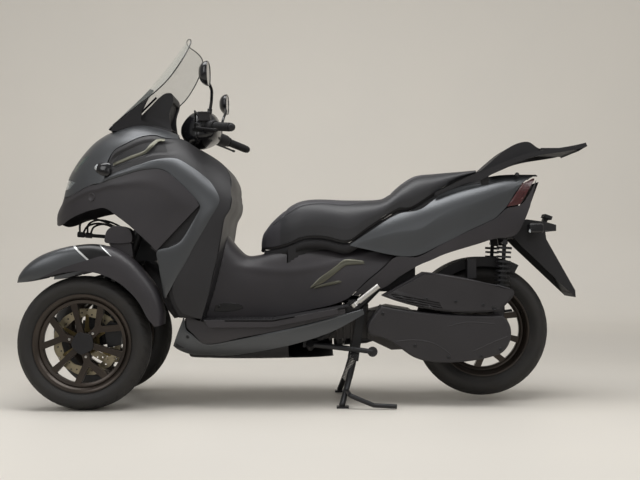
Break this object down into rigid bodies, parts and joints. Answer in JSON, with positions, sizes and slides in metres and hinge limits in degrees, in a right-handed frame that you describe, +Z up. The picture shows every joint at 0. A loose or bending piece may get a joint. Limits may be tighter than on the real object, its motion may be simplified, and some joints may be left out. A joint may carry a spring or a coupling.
{
  "type": "motorized trike",
  "caption": "Leaning scooter with paired front wheels, swept windscreen, step-through floor, stepped seat, rear carrier and centre stand.",
  "frame": {"origin": "on the ground under the middle of the vehicle's overall box", "axes": "+X to the rear, +Y to the rider's right, +Z up"},
  "size_m": [2.2671, 0.8143, 1.49],
  "materials": {
    "black_plastic": "matte",
    "case_dark": "satin",
    "dark_panel": "matte",
    "dark_steel": "satin",
    "disc_steel": "brushed",
    "engine_alloy": "satin",
    "frame_black": "satin",
    "gloss_black": "gloss",
    "grip_rubber": "matte",
    "lamp_clear": "clear",
    "lamp_red": "gloss",
    "olive_trim": "satin",
    "paint": "satin",
    "radiator_metal": "matte",
    "rim_bronze": "satin",
    "screen": "clear",
    "seat_cover": "matte",
    "silver_metal": "satin",
    "tyre": "matte"
  },
  "bodies": {
    "vehicle": {"main_frame": "frame_black", "lean_arms": "dark_steel", "side_brackets": "dark_steel", "engine_block": "engine_alloy", "transmission_case": "case_dark", "air_cleaner": "case_dark", "swing_arm": "engine_alloy", "muffler": "dark_steel", "rear_shocks": "dark_steel", "rear_hugger": "black_plastic", "radiator": "radiator_metal", "front_cowl": "paint", "leg_shield_trims": "paint", "side_panels": "dark_panel", "leg_shield": "dark_panel", "dash_panel": "black_plastic", "windscreen": "screen", "windscreen_bracket": "black_plastic", "front_lamps": "lamp_clear", "accent_trims": "olive_trim", "centre_tunnel": "dark_panel", "footboards": "black_plastic", "lower_skirts": "paint", "belly_pan": "black_plastic", "storage_tub": "black_plastic", "tail_covers": "paint", "tail_lower": "black_plastic", "tail_deck": "black_plastic", "tail_lamp": "lamp_red", "plate_holder": "black_plastic", "rear_indicators": "lamp_clear", "grab_rails": "frame_black"},
    "seat": {"seat_pad": "seat_cover", "seat_pan": "black_plastic"},
    "bars": {"handlebar": "frame_black", "handlebar_cover": "black_plastic", "hand_controls": "grip_rubber", "mirrors": "gloss_black"},
    "fork_left_body": {"fork_left": "dark_steel", "fender_left": "paint"},
    "fork_right_body": {"fork_right": "dark_steel", "fender_right": "paint"},
    "wheel_left": {"tyre_left": "tyre", "rim_left": "rim_bronze", "disc_left": "disc_steel"},
    "wheel_right": {"tyre_right": "tyre", "rim_right": "rim_bronze", "disc_right": "disc_steel"},
    "wheel_rear": {"tyre_rear": "tyre", "rim_rear": "rim_bronze", "disc_rear": "disc_steel"},
    "centre_stand_body": {"centre_stand": "frame_black"},
    "side_stand_body": {"side_stand": "frame_black"},
    "peg_left_body": {"peg_left": "silver_metal"},
    "peg_right_body": {"peg_right": "silver_metal"}
  },
  "joints": [
    {"name": "steering", "type": "hinge", "parent": "vehicle", "child": "bars", "pos_m": [-0.497, 0, 1.04], "axis": [0.342, 0, 0.9397], "range_deg": [-35, 35]},
    {"name": "fork_left_turn", "type": "hinge", "parent": "vehicle", "child": "fork_left_body", "pos_m": [-0.68422, -0.112, 0.7], "axis": [0.342, 0, 0.9397], "range_deg": [-35, 35]},
    {"name": "fork_right_turn", "type": "hinge", "parent": "vehicle", "child": "fork_right_body", "pos_m": [-0.68422, 0.112, 0.7], "axis": [0.342, 0, 0.9397], "range_deg": [-35, 35]},
    {"name": "wheel_left_spin", "type": "hinge", "parent": "fork_left_body", "child": "wheel_left", "pos_m": [-0.871, -0.235, 0.2618], "axis": [0, 1, 0], "continuous": true},
    {"name": "wheel_right_spin", "type": "hinge", "parent": "fork_right_body", "child": "wheel_right", "pos_m": [-0.871, 0.235, 0.2618], "axis": [0, 1, 0], "continuous": true},
    {"name": "wheel_rear_spin", "type": "hinge", "parent": "vehicle", "child": "wheel_rear", "pos_m": [0.724, 0, 0.2968], "axis": [0, 1, 0], "continuous": true},
    {"name": "seat_lift", "type": "hinge", "parent": "vehicle", "child": "seat", "pos_m": [-0.186, 0, 0.624], "axis": [0, -1, 0], "range_deg": [0, 50]},
    {"name": "centre_stand_fold", "type": "hinge", "parent": "vehicle", "child": "centre_stand_body", "pos_m": [0.19, 0, 0.188], "axis": [0, -1, 0], "range_deg": [0, 80]},
    {"name": "side_stand_swing", "type": "hinge", "parent": "vehicle", "child": "side_stand_body", "pos_m": [0.012, -0.152, 0.246], "axis": [0, 0.8944, -0.4472], "range_deg": [0, 100]},
    {"name": "peg_left_fold", "type": "hinge", "parent": "vehicle", "child": "peg_left_body", "pos_m": [0.186, -0.226, 0.408], "axis": [0.6157, 0, -0.788], "range_deg": [0, 90]},
    {"name": "peg_right_fold", "type": "hinge", "parent": "vehicle", "child": "peg_right_body", "pos_m": [0.186, 0.226, 0.408], "axis": [-0.6157, 0, 0.788], "range_deg": [0, 90]}
  ],
  "couplings": [
    {"joint": "fork_left_turn", "follows": "steering", "ratio": 1},
    {"joint": "fork_right_turn", "follows": "steering", "ratio": 1}
  ]
}
